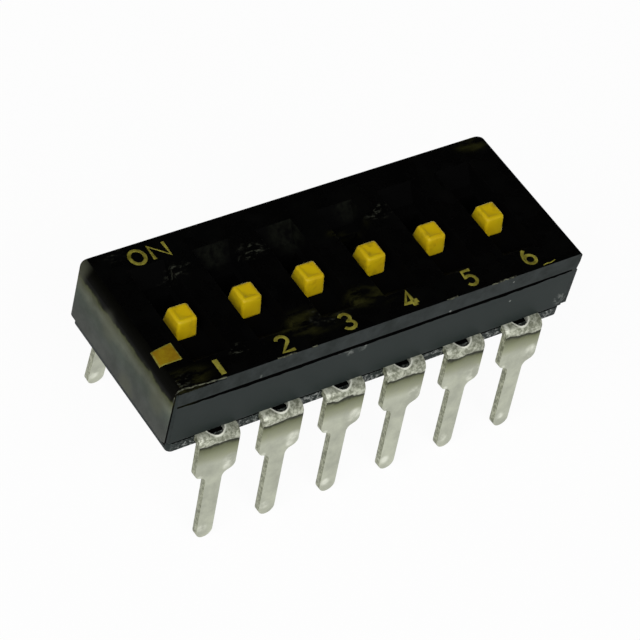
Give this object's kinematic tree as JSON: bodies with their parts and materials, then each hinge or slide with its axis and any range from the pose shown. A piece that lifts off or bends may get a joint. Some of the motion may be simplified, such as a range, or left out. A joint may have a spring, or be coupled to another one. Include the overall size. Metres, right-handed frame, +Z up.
{
  "type": "dip switch",
  "caption": "Through-hole dual in-line slide switch: black flat-topped housing with a row of recessed yellow sliders and splayed flat terminals along both long sides.",
  "frame": {"origin": "under the middle of the body, at the level of the terminal tips", "axes": "+X along the row of switches from the first position to the last, +Y towards the closed (ON) side, +Z up out of the top face"},
  "size_m": [0.0168, 0.0078, 0.0077],
  "materials": {
    "cover_plastic": "gloss black moulded plastic",
    "base_plastic": "satin dark slate moulded plastic",
    "actuator_plastic": "satin yellow moulded plastic",
    "spring_alloy": "gold-plated spring strip",
    "terminal_tin": "satin tin plate"
  },
  "bodies": {
    "housing": {"cover": "cover_plastic", "base": "base_plastic", "front_terminal_1": "terminal_tin", "front_terminal_2": "terminal_tin", "front_terminal_3": "terminal_tin", "front_terminal_4": "terminal_tin", "front_terminal_5": "terminal_tin", "front_terminal_6": "terminal_tin", "rear_terminal_1": "terminal_tin", "rear_terminal_2": "terminal_tin", "rear_terminal_3": "terminal_tin", "rear_terminal_4": "terminal_tin", "rear_terminal_5": "terminal_tin", "rear_terminal_6": "terminal_tin"},
    "slider_1": {"actuator_1": "actuator_plastic", "contact_spring_1": "spring_alloy"},
    "slider_2": {"actuator_2": "actuator_plastic", "contact_spring_2": "spring_alloy"},
    "slider_3": {"actuator_3": "actuator_plastic", "contact_spring_3": "spring_alloy"},
    "slider_4": {"actuator_4": "actuator_plastic", "contact_spring_4": "spring_alloy"},
    "slider_5": {"actuator_5": "actuator_plastic", "contact_spring_5": "spring_alloy"},
    "slider_6": {"actuator_6": "actuator_plastic", "contact_spring_6": "spring_alloy"}
  },
  "joints": [
    {"name": "switch_1", "type": "slide", "parent": "housing", "child": "slider_1", "axis": [0, 1, 0], "range_m": [0, 0.0009]},
    {"name": "switch_2", "type": "slide", "parent": "housing", "child": "slider_2", "axis": [0, 1, 0], "range_m": [0, 0.0009]},
    {"name": "switch_3", "type": "slide", "parent": "housing", "child": "slider_3", "axis": [0, 1, 0], "range_m": [0, 0.0009]},
    {"name": "switch_4", "type": "slide", "parent": "housing", "child": "slider_4", "axis": [0, 1, 0], "range_m": [0, 0.0009]},
    {"name": "switch_5", "type": "slide", "parent": "housing", "child": "slider_5", "axis": [0, 1, 0], "range_m": [0, 0.0009]},
    {"name": "switch_6", "type": "slide", "parent": "housing", "child": "slider_6", "axis": [0, 1, 0], "range_m": [0, 0.0009]}
  ]
}
